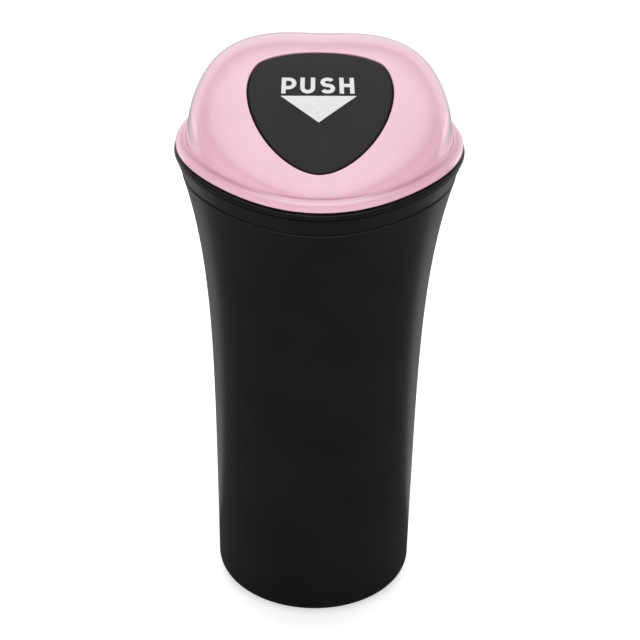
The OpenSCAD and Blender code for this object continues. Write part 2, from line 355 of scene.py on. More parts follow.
# %% Material helpers
def new_finish(name):
    """Empty material, its tree, and the Object coordinates that a finish reads."""
    material = bpy.data.materials.new(name)
    material.use_nodes = True
    material.node_tree.nodes.clear()
    tree = Tree(material.node_tree)
    return material, tree, tree.add("ShaderNodeTexCoord").pick("Object")


def close_finish(tree, shader, kind="ShaderNodeOutputMaterial"):
    end = tree.tree.nodes.new(kind)
    tree.tree.links.new(shader.socket, end.inputs["Surface"])


def noise(tree, point, swells, detail=2.0, rough=0.5):
    """Noise of a given number of swells to a metre, as a value round 0.5."""
    return tree.add("ShaderNodeTexNoise", None,
                    {"Vector": point, "Scale": swells, "Detail": detail, "Roughness": rough})


def streaks(tree, point, swells, detail, rough=0.5):
    """Noise with its own number of swells to a metre along x, y and z."""
    drawn = tree.add("ShaderNodeMapping", None, {"Vector": point, "Scale": swells})
    return noise(tree, drawn, 1.0, detail, rough)


def swing(value, width):
    """A swing about zero, as wide as given, from a noise value round 0.5."""
    return (value - 0.5) * width


def two_colours(tree, factor, low, high):
    """Blend of two colours by a factor."""
    return tree.add("ShaderNodeMix", {"data_type": "RGBA"},
                    {0: factor, 6: (*low, 1.0), 7: (*high, 1.0)}, out=2)


def close_skin(material, tree, colour, roughness, bump, constants):
    """Principled shader with a bump (height, strength, distance) and its constants."""
    height, strength, distance = bump
    normal = tree.add("ShaderNodeBump", None,
                      {"Height": height, "Strength": strength, "Distance": distance})
    varied = {"Base Color": colour, "Roughness": roughness, "Normal": normal}
    close_finish(tree, tree.add("ShaderNodeBsdfPrincipled", None, {**varied, **constants}))
    return material


print("material helpers ready")

# %% Black moulded plastic of the tub and the collar
BLACK = ((0.0042, 0.0042, 0.0047), (0.0056, 0.0056, 0.0061))
FLOW_ON_BLACK = (90.0, 90.0, 9.0)


def black_plastic(name, gloss, grain):
    material, tree, point = new_finish(name)
    cloud = noise(tree, point, swells=35.0, detail=3.0)
    fine = noise(tree, point, swells=2600.0)
    flow = streaks(tree, point, FLOW_ON_BLACK, detail=3.0)
    colour = two_colours(tree, cloud.ramp(0.35, 0.65), *BLACK)
    roughness = gloss + swing(cloud, 0.08) + swing(fine, 0.05) + swing(flow, 0.06)
    return close_skin(material, tree, colour, roughness, (fine, grain, 0.00004),
                      {"IOR": 1.46, "Specular IOR Level": 0.5})


tub_black = black_plastic("satin_black_tub", gloss=0.31, grain=0.3)
collar_black = black_plastic("satin_black_collar", gloss=0.32, grain=0.2)
print("made", tub_black.name, "and", collar_black.name)

# %% Polished pink plastic of the lid
PINK = ((0.76, 0.44, 0.55), (0.785, 0.468, 0.578))
PINK_GLOSS = 0.13
FLOW_ON_PINK = (60.0, 60.0, 22.0)


def pink_plastic():
    material, tree, point = new_finish("polished_pink")
    cloud = noise(tree, point, swells=28.0)
    flow = streaks(tree, point, FLOW_ON_PINK, detail=4.0, rough=0.6)
    fine = noise(tree, point, swells=900.0)
    colour = two_colours(tree, (cloud * 0.6 + flow * 0.4).ramp(0.3, 0.7), *PINK)
    roughness = PINK_GLOSS + swing(flow, 0.05) + swing(fine, 0.03)
    return close_skin(material, tree, colour, roughness, (flow, 0.05, 0.00005),
                      {"IOR": 1.5, "Coat Weight": 1.0, "Coat Roughness": 0.03, "Coat IOR": 1.45})


lid_pink = pink_plastic()
print("made", lid_pink.name)

# %% Spark-textured charcoal plastic of the flap, and its printed mark
CHARCOAL = ((0.0122, 0.0116, 0.0128), (0.017, 0.0162, 0.018))
CHARCOAL_GLOSS = 0.58
PALE_INK = ((0.71, 0.7, 0.71), (0.76, 0.75, 0.76))
INK_GLOSS = 0.42


def charcoal_plastic():
    material, tree, point = new_finish("spark_charcoal")
    cloud = noise(tree, point, swells=60.0)
    spark = noise(tree, point, swells=1500.0, detail=3.0, rough=0.65)
    colour = two_colours(tree, (cloud * 0.5 + spark * 0.5).ramp(0.35, 0.65), *CHARCOAL)
    roughness = CHARCOAL_GLOSS + swing(spark, 0.2) + swing(cloud, 0.06)
    return close_skin(material, tree, colour, roughness, (spark, 0.4, 0.00008),
                      {"IOR": 1.46, "Specular IOR Level": 0.25})


def print_ink():
    material, tree, point = new_finish("pale_print_ink")
    cover = noise(tree, point, swells=700.0, detail=3.0, rough=0.6)
    colour = two_colours(tree, cover.ramp(0.3, 0.6), *PALE_INK)
    roughness = INK_GLOSS + swing(cover, 0.2)
    return close_skin(material, tree, colour, roughness, (cover, 0.2, 0.00003), {})


flap_charcoal = charcoal_plastic()
ink = print_ink()
print("made", flap_charcoal.name, "and", ink.name)

# %% Drawn steel of the pin and the spring
DRAWN = (40.0, 2400.0, 2400.0)
STEEL_GLOSS = 0.24
STEEL_SHINE = 1.12


def drawn_steel(name, tint):
    material, tree, point = new_finish(name)
    lines = streaks(tree, point, DRAWN, detail=3.0)
    colour = two_colours(tree, lines.ramp(0.3, 0.7), tint, tuple(c * STEEL_SHINE for c in tint))
    roughness = STEEL_GLOSS + swing(lines, 0.16)
    return close_skin(material, tree, colour, roughness, (lines, 0.15, 0.00002),
                      {"Metallic": 1.0})


pin_steel = drawn_steel("drawn_pin_steel", (0.55, 0.56, 0.58))
spring_steel = drawn_steel("bright_spring_wire", (0.42, 0.43, 0.45))
print("made", pin_steel.name, "and", spring_steel.name)

# %% [markdown]
# ### The tub
# The tub is one black polypropylene moulding. It stands on a narrow ring round a shallow
# recess, its bottom edge is softly rounded, and inside the wall runs down to a rounded
# floor. Its top edge is thinned and hides under the collar, and where the thinning starts
# a small chamfer faces up and catches the light. The section is drawn from the middle of
# the underside, out, up the wall, over the edge and back down to the middle of the floor.

# %% Section of the tub
FOOT_ROUND = 5.0
FOOT_W = 3.0
FOOT_RECESS = 1.6
FLOOR_T = 2.2
FLOOR_ROUND = 3.0
LIP_T = 1.0
LIP_TOP = CREASE_Z + 0.2
LIP_SOFT = 0.2
GATE_R = 1.6
GATE_FLAT = 0.6
GATE_RISE = 0.35
RING_SOFT = 0.3
RING_SOFT_IN = 0.4
RING_SOFT_OUT = 0.2
RING_STEPS = 12
CHAMFER_IN = 0.4
CHAMFER = [(-0.03, -0.33), (-0.33, -0.03), (-CHAMFER_IN, 0.0)]
WALL_STEPS = 72
INSIDE_STEPS = 60
FLOOR_STEPS = 8


def arc(count, first=0):
    """Quarter-turn angles in equal steps."""
    return [math.pi / 2 * k / count for k in range(first, count + 1)]


def tub_section():
    floor_z = FOOT_RECESS + FLOOR_T
    foot_in = FOOT_ROUND + FOOT_W
    lip = -(WALL - LIP_T)
    gate_z = FOOT_RECESS + GATE_RISE
    points = [(-BASE_R, gate_z, 0), (-BASE_R + GATE_R * GATE_FLAT, gate_z, 0),
              (-BASE_R + GATE_R, FOOT_RECESS, 0)]
    points += [(-foot_in - FOOT_RECESS - RING_SOFT_IN, FOOT_RECESS, 0),
               (-foot_in - FOOT_RECESS + RING_SOFT_OUT, FOOT_RECESS - RING_SOFT, 0),
               (-foot_in - RING_SOFT, RING_SOFT, 0), (-foot_in + RING_SOFT, 0, 0)]
    for t in arc(RING_STEPS):
        z = FOOT_ROUND * (1 - math.cos(t))
        points.append((-FOOT_ROUND * (1 - math.sin(t)), z, z))
    for t in arc(WALL_STEPS, 1):
        z = FOOT_ROUND + (BARREL_H - CHAMFER_IN - FOOT_ROUND) * math.sin(t)
        points.append((0, z, z))
    points += [(out, BARREL_H + up, BARREL_H) for out, up in CHAMFER]
    points += [(lip, BARREL_H, BARREL_H), (lip, LIP_TOP - LIP_SOFT, CREASE_Z),
               (lip - LIP_SOFT, LIP_TOP, CREASE_Z), (-WALL + LIP_SOFT, LIP_TOP, CREASE_Z),
               (-WALL, LIP_TOP - LIP_SOFT, CREASE_Z)]
    round_z = floor_z + FLOOR_ROUND
    for t in reversed(arc(INSIDE_STEPS)):
        z = round_z + (BARREL_H - round_z) * math.sin(t)
        points.append((-WALL, z, z))
    for t in arc(FLOOR_STEPS, 1):
        z = floor_z + FLOOR_ROUND * (1 - math.sin(t))
        points.append((-WALL - FLOOR_ROUND * (1 - math.cos(t)), z, z))
    points.append((-BASE_R, floor_z, 0))
    return points


barrel = turned("tub", tub_section(), tub_black)
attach(barrel, "bin")
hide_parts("barrel")

# %% [markdown]
# ### The collar
# The collar is an inverted channel that drops over the tub's thinned edge and pinches the
# rim of the liner bag. Outside it shows a slanted band, a fine groove and a rounded bead.
# The band's foot stands a few tenths inside the tub's chamfer, which is why the joint
# shows as a light line and not as a dark one. The collar is carried round by the same
# tree, from a closed section.

# %% Section of the collar
BEAD_OUT = 0.5
BAND_STEP = 0.3
LEG_CLEAR = 0.4
JOINT_GAP = 0.05
LINE_UP = 0.6
BEAD_DROP = 0.3
LEG_H = 5.0
THROAT = -5.6
FOOT_SOFT = 0.06
BAND_STEPS = 13
BAND_TOP = 0.55
GROOVE = [(-0.06, -0.5), (-0.35, -0.4), (-0.45, -0.22), (-0.35, -0.04)]
BEAD_STEPS = 20
BEAD_ROOT = 0.1
BEAD_FULL = 0.6
SHELF_FROM = 0.6
SHELF_TO = 0.9
THROAT_SOFT = 0.4
THROAT_EASE = 0.12


def collar_section():
    leg_out = LEG_CLEAR - (WALL - LIP_T)
    leg_in = -WALL - LEG_CLEAR
    leg_z = LIP_TOP - LEG_H
    low = BARREL_H + JOINT_GAP
    line = CREASE_Z + LINE_UP
    half = (COLLAR_TOP - BEAD_DROP - line) / 2
    foot = low + FOOT_SOFT
    points = [(leg_out, low, low), (-BAND_STEP - FOOT_SOFT, low, low), (-BAND_STEP, foot, low)]
    for k in range(1, BAND_STEPS):
        share = k / BAND_STEPS
        z = foot + (line - BAND_TOP - foot) * share
        points.append((-BAND_STEP * (1 - share), z, min(z, CREASE_Z)))
    points += [(out, line + up, CREASE_Z) for out, up in GROOVE]
    for k in range(BEAD_STEPS + 1):
        t = math.pi * (k / BEAD_STEPS - 0.5)
        bulge = -BEAD_ROOT + (BEAD_OUT + BEAD_ROOT) * max(math.cos(t), 0) ** BEAD_FULL
        points.append((bulge, line + half + half * math.sin(t), CREASE_Z))
    soft = THROAT_SOFT
    points += [(-SHELF_FROM, COLLAR_TOP - BEAD_DROP, CREASE_Z),
               (-SHELF_TO, COLLAR_TOP, CREASE_Z), (THROAT + soft, COLLAR_TOP, CREASE_Z),
               (THROAT + THROAT_EASE, COLLAR_TOP - THROAT_EASE, CREASE_Z),
               (THROAT, COLLAR_TOP - soft, CREASE_Z),
               (THROAT, leg_z + soft, CREASE_Z), (THROAT + soft, leg_z, CREASE_Z),
               (leg_in - soft, leg_z, leg_z), (leg_in, leg_z + soft, leg_z + soft),
               (leg_in, LIP_TOP, CREASE_Z), (leg_out, LIP_TOP, CREASE_Z), (leg_out, low, low)]
    return points


collar = turned("collar", collar_section(), collar_black, crisp=50.0)
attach(collar, "bin")
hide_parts("bag_collar")

# %% [markdown]
# ### The rule of the dome
# The lid is a boxy dome cut by a sloping face, with one soft edge running round between
# the two. Sculpting would only come near it. Seen from the middle of the dome's foot, each
# direction has one reach: the dome has one, the sloping plane has one, and a high power
# mean of the two gives the soft edge. Towards the front the dome itself is rounder, and
# near its foot the soft edge is crisper. The wall's inside is the same rule, moved in.

# %% Reach of the dome in any direction
FLANGE_W = 3.25
FLANGE_H = 3.0
SHADOW_GAP = 0.4
DOME_H = 27.6
DOME_POWER = 3.4
DOME_CORNER = 5.4
DOME_FILL = 1.6
FILL_POWER = 0.75
DOME_SOFT = 1.2
SOFT_FROM = 0.2
SOFT_TO = 0.9
FRONT_EASE = 0.3
SLOPE = math.radians(26.5)
SLOPE_DIST = 21.2
FACE_DIST = 21.6
SLOPE_BLEND = 8.0
FOOT_CRISP = 2.0
CRISP_POWER = 8
LID_WALL = 1.8
DOME_SUNK = 0.5
DOME_Z = COLLAR_TOP + SHADOW_GAP + FLANGE_H - DOME_SUNK
DOME_R = RIM_R - FLANGE_W
slope_out = Vector((0, -math.sin(SLOPE), math.cos(SLOPE)))
slope_up = Vector((0, math.cos(SLOPE), math.sin(SLOPE)))


def ease(t):
    c = min(max(t, 0.0), 1.0)
    return c * c * (3 - 2 * c)


def plan_radius(a, rise, depth):
    grown = DOME_CORNER * (1 + FRONT_EASE * math.sin(a)) * rise
    return DOME_R - depth + DOME_FILL * rise + (LOBE - grown) * math.cos(LOBES * a)


def on_dome(way, depth):
    """Point of the surface that lies depth under the outside, in the direction way."""
    d = way.normalized()
    a = math.atan2(d.y, d.x)
    up = max(d.z, 0.0)
    power = DOME_POWER - DOME_SOFT * ease((-math.sin(a) - SOFT_FROM) / (SOFT_TO - SOFT_FROM))
    side = math.hypot(d.x, d.y) / plan_radius(a, up ** FILL_POWER, depth)
    shell = (side ** power + (up / (DOME_H - depth)) ** power) ** (1 / power)
    face = max(d.dot(slope_out), 0.0) / (FACE_DIST - depth)
    blend = SLOPE_BLEND * (1 + FOOT_CRISP * (1 - up) ** CRISP_POWER)
    reach = (shell ** blend + face ** blend) ** (-1 / blend)
    return d * reach + Vector((0, 0, DOME_Z))


print("dome's foot at", DOME_Z, "top at", round(on_dome(Vector((0, 0.3, 1)), 0).z, 2))

# %% [markdown]
# ### The opening
# The opening is a rounded triangle, point down. Its outline is written by its support
# distance, which is how far it reaches in each direction: a mean radius plus a slow swell
# that makes it tall, a threefold one for the corners and a fourfold one that bows the
# sides. Such a curve has no kink, and it is drawn in or out by adding to the radius.

# %% Outline of the opening on the sloping face
MOUTH_R = 26.4
MOUTH_SWELLS = {2: 1.4, 3: 2.3, 4: -0.4}
MOUTH_SHIFT = 0.3


def outline(a, off):
    b = a + math.pi / 2
    p = MOUTH_R + off + sum(size * math.cos(k * b) for k, size in MOUTH_SWELLS.items())
    q = -sum(k * size * math.sin(k * b) for k, size in MOUTH_SWELLS.items())
    return p * math.cos(a) - q * math.sin(a), p * math.sin(a) + q * math.cos(a)


def on_face(a, off, depth, share=1.0):
    """Way to the outline on the sloping face, drawn in to its middle by share."""
    x, v = outline(a, off)
    down = slope_up * (v * share - MOUTH_SHIFT)
    return slope_out * (SLOPE_DIST - depth) + down + Vector((x * share, 0, 0))


def around(count):
    return [math.tau * i / count for i in range(count)]


print("opening", round(2 * max(outline(a, 0)[0] for a in around(720)), 1), "mm wide")

# %% [markdown]
# ### Skins
# Lid and flap are lofted: one ring of points after another, joined into a skin. A piece
# with a hole through it is joined end to start, and a solid one is closed at both ends.

# %% Skin over rings of points
def skin(name, rings, loop=False):
    n = len(rings[0])
    count = len(rings)
    verts = [p * MM for ring in rings for p in ring]
    faces = []
    for k in range(count if loop else count - 1):
        a = k * n
        b = (k + 1) % count * n
        faces += [(a + i, a + (i + 1) % n, b + (i + 1) % n, b + i) for i in range(n)]
    if not loop:
        for start, ring in ((0, rings[0]), ((count - 1) * n, rings[-1])):
            verts.append(sum(ring, Vector()) / n * MM)
            top = len(verts) - 1
            order = range(n) if start else range(n - 1, -1, -1)
            faces += [(start + i, start + ((i + 1) % n if start else (i - 1) % n), top)
                      for i in order]
    mesh = bpy.data.meshes.new(name)
    mesh.from_pydata(verts, [], faces)
    return mesh


def level_ring(count, z, off):
    """Ring at height z that follows the lobed rim, off from it."""
    ring = []
    for a in around(count):
        r = wall_radius(CREASE_Z, a) + off
        ring.append(Vector((r * math.cos(a), r * math.sin(a), z)))
    return ring


print("rings and skins ready")

# %% [markdown]
# ### The lid
# The lid is one thin moulding: dome, a rounded bead round its foot that sits on the collar
# with a fine shadow line, and inside it a skirt that plugs into the collar. Dome and bead
# meet in a rounded valley, since a sharp one would show as a dark line. The edge of the
# opening is rolled over by a few tenths of a millimetre, which catches the light.

# %% Rings of the lid
LID_POINTS = 320
SKIRT_OUT = THROAT - 0.4
SKIRT_T = 1.6
SKIRT_Z = COLLAR_TOP - 8.6
SKIRT_SOFT = 0.4
SKIRT_EASE = 0.6
SKIRT_ROOT = 1.2
LEDGE_IN = 0.5
SEAT_IN = 0.65
EDGE_ROLL = [(0.5, 0.0), (0.22, 0.05), (0.06, 0.2), (0.0, 0.45)]
DOME_STEPS = 52
INNER_STEPS = 30
BEAD = [(1.15, 0.98), (1.07, 0.93), (1.02, 0.87), (1.0, 0.8), (1.0, 0.7), (0.99, 0.6),
        (0.96, 0.47), (0.93, 0.35), (0.85, 0.24), (0.74, 0.15), (0.61, 0.08), (0.46, 0.03),
        (0.3, 0.0), (0.16, 0.02), (0.06, 0.08), (0.01, 0.17), (0.0, 0.27)]


def dome_ring(share, depth, off=0.0):
    ring = []
    for a in around(LID_POINTS):
        foot = plan_radius(a, 0, depth) * Vector((math.cos(a), math.sin(a), 0))
        ring.append(on_dome(foot * (1 - share) + on_face(a, off, depth) * share, depth))
    return ring


def lid_rings():
    edge = COLLAR_TOP + SHADOW_GAP
    inside = SKIRT_OUT - SKIRT_T
    rolled_out = EDGE_ROLL[-1][1]
    rings = [dome_ring(1.0, depth, off) for depth, off in EDGE_ROLL]
    for k in range(1, DOME_STEPS - 1):
        share = 1 - k / DOME_STEPS
        rings.append(dome_ring(share, 0, rolled_out * share))
    below = [(edge + FLANGE_H * up, -FLANGE_W * back) for up, back in BEAD]
    below += [(edge, -FLANGE_W * LEDGE_IN), (COLLAR_TOP, -FLANGE_W * SEAT_IN),
              (COLLAR_TOP, SKIRT_OUT), (SKIRT_Z + SKIRT_EASE, SKIRT_OUT),
              (SKIRT_Z, SKIRT_OUT - SKIRT_SOFT), (SKIRT_Z, inside + SKIRT_SOFT),
              (SKIRT_Z + SKIRT_EASE, inside), (COLLAR_TOP + SKIRT_ROOT, inside)]
    rings += [level_ring(LID_POINTS, z, off) for z, off in below]
    rings += [dome_ring(k / INNER_STEPS, LID_WALL) for k in range(INNER_STEPS + 1)]
    return rings


lid_shell = skin("lid_shell", lid_rings(), loop=True)
print("lid shell", len(lid_shell.polygons), "faces")

# %% [markdown]
# ### Hinge
# Two ears hang from the roof of the dome and hold a steel pin; two knuckles under the top
# edge of the flap turn on it. An ear or a knuckle is a flat plate with a hole. Seen from
# the hole each outline is star-shaped, so the plate is a strip between the hole and the
# outline, with a small chamfer at both rims.

# %% Plates with a hole
FLAP_GAP = 0.5
FLAP_RECESS = 0.25
FLAP_T = 1.6
PIN_R = 1.0
PIN_DEPTH = 4.85
EAR_X = 13.1
EAR_T = 2.5
KNUCKLE_W = 3.0
KNUCKLE_GAP = 0.3
KNUCKLE_X = EAR_X - EAR_T / 2 - KNUCKLE_GAP - KNUCKLE_W / 2
PIN_BELOW = 3.0
PRESS_GAP = 0.03
TURN_GAP = 0.06
PLATE_POINTS = 64
PLATE_EDGE = 0.2
HULL_STEPS = 180
hinge_v = outline(math.pi / 2, -FLAP_GAP)[1] - MOUTH_SHIFT - PIN_BELOW
hinge = on_dome(slope_out * SLOPE_DIST + slope_up * hinge_v, 0) - slope_out * PIN_DEPTH
print("hinge at", [round(c, 3) for c in hinge])


def discs_reach(angle, discs):
    """How far the hull of some discs reaches from the origin at an angle."""
    best = math.inf
    for k in range(HULL_STEPS):
        b = math.tau * k / HULL_STEPS
        across = math.cos(angle - b)
        if across > 1e-6:
            far = max(x * math.cos(b) + y * math.sin(b) + r for x, y, r in discs)
            best = min(best, far / across)
    return best


def over_hinge(x, v, depth):
    """Point depth under the surface and v up the slope, seen from the hinge."""
    way = slope_out * SLOPE_DIST + slope_up * (hinge_v + v) + Vector((x, 0, 0))
    return on_dome(way, depth) - hinge


def bored_plate(name, x, width, discs, bore):
    """Plate across x about the hinge; its discs are (y, z, radius)."""
    rings = []
    angles = around(PLATE_POINTS)
    outer = [discs_reach(a, discs) for a in angles]
    flat = 1 - 2 * PLATE_EDGE / width
    stack = [(-1, bore, 0), (-1, None, PLATE_EDGE), (-flat, None, 0),
             (flat, None, 0), (1, None, PLATE_EDGE), (1, bore, 0)]
    for side, radius, less in stack:
        ring = []
        for a, far in zip(angles, outer):
            r = radius if radius else far - less
            ring.append(Vector((x + side * width / 2, r * math.cos(a), r * math.sin(a))) + hinge)
        rings.append(ring)
    return skin(name, rings, loop=True)


EAR_EYE = 2.2
EAR_ROOT = 1.5
EAR_BACK = 9
EAR_SUNK = 0.6
EAR_W = 3
EAR_DROP = 0.4
root_way = hinge + Vector((EAR_X, EAR_BACK, 0)) - Vector((0, 0, DOME_Z))
root = on_dome(root_way, LID_WALL + EAR_SUNK) - hinge
ear_discs = [(0, 0, EAR_EYE), (root.y, root.z, EAR_ROOT),
             (root.y - EAR_W, root.z - EAR_DROP, EAR_ROOT)]
ears = [bored_plate("ear", side * EAR_X, EAR_T, ear_discs, PIN_R + PRESS_GAP)
        for side in (-1, 1)]
print("ears of", len(ears[0].polygons), "faces each")

# %% The lid, one piece with its ears
def joined(name, meshes, material):
    """One piece from several closed meshes."""
    shape = bmesh.new()
    for mesh in meshes:
        shape.from_mesh(mesh)
    whole = bpy.data.meshes.new(name)
    shape.to_mesh(whole)
    shape.free()
    whole.materials.append(material)
    finish_mesh(whole)
    print(name, len(whole.polygons), "faces")
    return link(name, whole)


lid = joined("lid", [lid_shell] + ears, lid_pink)
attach(lid, "lid")
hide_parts("lid_dome")

# %% [markdown]
# ### The flap
# The flap is a shallow tray. Its face follows the dome's own surface a quarter of a
# millimetre lower, with a fine rounded bevel all round. Behind the edge a stop lip reaches
# past the opening; it fades out above the pin, so that the top edge is free to swing.

# %% Rings of the flap
FLAP_POINTS = 288
LIP_W = LID_WALL + 0.35
STOP_T = 1.0
BACK = FLAP_RECESS + FLAP_T
FADE_UP = hinge_v + MOUTH_SHIFT - 4.4
FADE_IN = FADE_UP - 3.0
FADE_FROM = FADE_IN - 5.5
BEVEL = 0.55
BEVEL_DROP = 0.45
STOP_OUT = FLAP_GAP + 1.2
STOP_IN = -1.9
STOP = LIP_W + STOP_T
# Behind the bevel: offset below and above the fade, depth below and above it.
BACK_EDGE = [(0, 0, LIP_W, BACK * 0.7), (STOP_OUT, -0.1, LIP_W, BACK * 0.8),
             (STOP_OUT, -0.3, STOP, BACK * 0.9), (STOP_IN, -0.9, STOP, BACK - 0.05),
             (STOP_IN, STOP_IN, BACK, BACK)]
BEVEL_STEPS = 5
FACE_STEPS = 24
BACK_STEPS = 12


def flap_ring(off, depth, share=1.0):
    """Ring of the flap; off and depth are (below the fade, above the fade)."""
    ring = []
    for a in around(FLAP_POINTS):
        v = outline(a, 0)[1]
        o = off[0] + (off[1] - off[0]) * ease((v - FADE_FROM) / (FADE_IN - FADE_FROM))
        d = depth[0] + (depth[1] - depth[0]) * ease((v - FADE_IN) / (FADE_UP - FADE_IN))
        ring.append(on_dome(on_face(a, o - FLAP_GAP, d, share), d))
    return ring


def same(x):
    return (x, x)


def flap_rings():
    rings = [flap_ring(same(-BEVEL), same(FLAP_RECESS), k / FACE_STEPS)
             for k in range(1, FACE_STEPS + 1)]
    for t in arc(BEVEL_STEPS, 1):
        rings.append(flap_ring(same(-BEVEL + BEVEL * math.sin(t)),
                               same(FLAP_RECESS + BEVEL_DROP * (1 - math.cos(t)))))
    rings += [flap_ring(row[:2], row[2:]) for row in BACK_EDGE]
    rings += [flap_ring(same(STOP_IN), same(BACK), k / BACK_STEPS)
              for k in range(BACK_STEPS - 1, 0, -1)]
    return rings


KNUCKLE_EYE = 2.3
KNUCKLE_FOOT = 0.6
FOOT_FRONT = -7
FOOT_BACK = 0.5
knuckle_discs = [(0, 0, KNUCKLE_EYE)]
for up_slope in (FOOT_FRONT, FOOT_BACK):
    foot = over_hinge(KNUCKLE_X, up_slope, BACK)
    knuckle_discs.append((foot.y, foot.z, KNUCKLE_FOOT))
knuckles = [bored_plate("knuckle", side * KNUCKLE_X, KNUCKLE_W, knuckle_discs, PIN_R + TURN_GAP)
            for side in (-1, 1)]
flap = joined("flap", [skin("flap_shell", flap_rings())] + knuckles, flap_charcoal)
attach(flap, "flap")
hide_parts("push_flap")

# %% [markdown]
# ### The printed mark
# The flap carries a generic operating mark in pale ink: the word PUSH over a triangle
# that points down. The letters are stroked shapes of our own: a bold stroke is carried
# along straight runs and arcs, filled, and laid on the flap's own surface with the
# thickness of an ink film. Long runs are cut into short steps, so that the film follows
# the curved flap, and each stroke of a letter is a hair lower than the one before, so that
# no two faces lie in one plane where they cross. The mark is tilted by just under a
# degree, as in the photograph.

# %% Strokes of the letters
INK = 0.06
STROKE = 1.45
LETTER_H = 6.95
LETTER_W = 3.45
LETTERS_AT = {"P": -12.0, "U": -5.8, "S": 0.75, "H": 7.1}
LETTERS_FOOT = 2.5
ARROW_MIDDLE = -0.5
ARROW_HALF = 12.45
ARROW_TOP = 1.5
ARROW_TIP = -9.25
ARROW_STEPS = 24
ARROW_POINT = 0.02
MARK_TILT = math.radians(0.9)
INK_SUNK = 0.04
INK_STEP = 0.012
STEP = 0.6
BOWL = 0.27
S_INSET = 0.1
S_ENDS = (28, -152)
S_WAIST = (268, 88)


def bend(cx, cy, rx, ry, start, stop, steps=14):
    """Points of an elliptical arc, angles in degrees."""
    return [(cx + rx * math.cos(math.radians(start + (stop - start) * k / steps)),
             cy + ry * math.sin(math.radians(start + (stop - start) * k / steps)))
            for k in range(steps + 1)]


def letter_paths(w):
    """Middle lines of P, U, S and H in a box w wide, measured inside the stroke."""
    h = LETTER_H - STROKE
    foot = -STROKE / 2
    head = h - foot
    side = STROKE / 4
    r = BOWL * LETTER_H
    p_lines = [[(0, foot), (0, head)], [(side, h), (w - r, h)]
               + bend(w - r, h - r, r, r, 90, -90)[1:] + [(side, h - 2 * r)]]
    c = w / 2
    u_lines = [[(0, head), (0, c)] + bend(c, c, c, c, 180, 360)[1:] + [(w, head)]]
    q = h / 4
    narrow = c - S_INSET
    s_lines = [bend(c, h - q, narrow, q, S_ENDS[0], 180)
               + bend(c, h - q, narrow, q, 180, S_WAIST[0])[1:]
               + bend(c, q, c, q, S_WAIST[1], 0)[1:] + bend(c, q, c, q, 0, S_ENDS[1])[1:]]
    h_lines = [[(0, foot), (0, head)], [(w, foot), (w, head)],
               [(side, h / 2), (w - side, h / 2)]]
    return {"P": p_lines, "U": u_lines, "S": s_lines, "H": h_lines}


def stepped(path):
    """The same line with points close enough to follow the curved flap."""
    out = [path[0]]
    for (x0, y0), (x1, y1) in zip(path, path[1:]):
        count = max(1, math.ceil(math.hypot(x1 - x0, y1 - y0) / STEP))
        out += [(x0 + (x1 - x0) * k / count, y0 + (y1 - y0) * k / count)
                for k in range(1, count + 1)]
    return out


def stroked(points, half):
    """Two sides of a stroke along a line of points."""
    left = []
    right_side = []
    for i, here in enumerate(points):
        before = points[max(i - 1, 0)]
        after = points[min(i + 1, len(points) - 1)]
        first = Vector((here[0] - before[0], here[1] - before[1])) if i else None
        second = Vector((after[0] - here[0], after[1] - here[1])) if i < len(points) - 1 else None
        first = (first or second).normalized()
        second = (second or first).normalized()
        along = (first + second).normalized()
        reach = half / max(along.dot(first), 0.5)
        normal = Vector((-along.y, along.x)) * reach
        left.append((here[0] + normal.x, here[1] + normal.y))
        right_side.append((here[0] - normal.x, here[1] - normal.y))
    return left, right_side


print("letters", "".join(LETTERS_AT), LETTER_H, "mm high, stroke", STROKE)

# %% Ink laid on the flap
def on_flap(x, v, lift):
    """Point on the flap, lifted off its surface, with the mark's tilt taken in."""
    depth = FLAP_RECESS - lift
    across = x * math.cos(MARK_TILT) - v * math.sin(MARK_TILT)
    up = x * math.sin(MARK_TILT) + v * math.cos(MARK_TILT)
    way = slope_out * (SLOPE_DIST - depth) + slope_up * up + Vector((across, 0, 0))
    return on_dome(way, depth)


def ink_strip(shape, left, right_side, top=INK):
    """Thin film between two rows of points on the flap."""
    rows = []
    for lift in (-INK_SUNK, top):
        rows.append([[shape.verts.new(on_flap(x, v, lift) * MM) for x, v in row]
                     for row in (left, right_side)])
    (low_l, low_r), (top_l, top_r) = rows
    last = len(left) - 1
    for i in range(last):
        shape.faces.new((top_l[i], top_l[i + 1], top_r[i + 1], top_r[i]))
        shape.faces.new((low_l[i], low_r[i], low_r[i + 1], low_l[i + 1]))
        shape.faces.new((low_l[i], low_l[i + 1], top_l[i + 1], top_l[i]))
        shape.faces.new((low_r[i], top_r[i], top_r[i + 1], low_r[i + 1]))
    shape.faces.new((low_l[0], top_l[0], top_r[0], low_r[0]))
    shape.faces.new((low_l[last], low_r[last], top_r[last], top_l[last]))


def ink_mark():
    shape = bmesh.new()
    for letter, path_list in letter_paths(LETTER_W).items():
        for k, path in enumerate(path_list):
            moved = [(LETTERS_AT[letter] + x, LETTERS_FOOT + STROKE / 2 + y)
                     for x, y in stepped(path)]
            ink_strip(shape, *stroked(moved, STROKE / 2), INK - INK_STEP * k)
    left = []
    right_side = []
    for k in range(ARROW_STEPS + 1):
        half = max(ARROW_HALF * (1 - k / ARROW_STEPS), ARROW_POINT)
        v = ARROW_TOP + (ARROW_TIP - ARROW_TOP) * k / ARROW_STEPS
        left.append((ARROW_MIDDLE - half, v))
        right_side.append((ARROW_MIDDLE + half, v))
    ink_strip(shape, left, right_side)
    mesh = bpy.data.meshes.new("push_mark")
    shape.to_mesh(mesh)
    shape.free()
    mesh.materials.append(ink)
    finish_mesh(mesh, crisp=30.0)
    return link("push_mark", mesh)


mark = ink_mark()
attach(mark, "flap")
print("mark", len(mark.data.polygons), "faces")

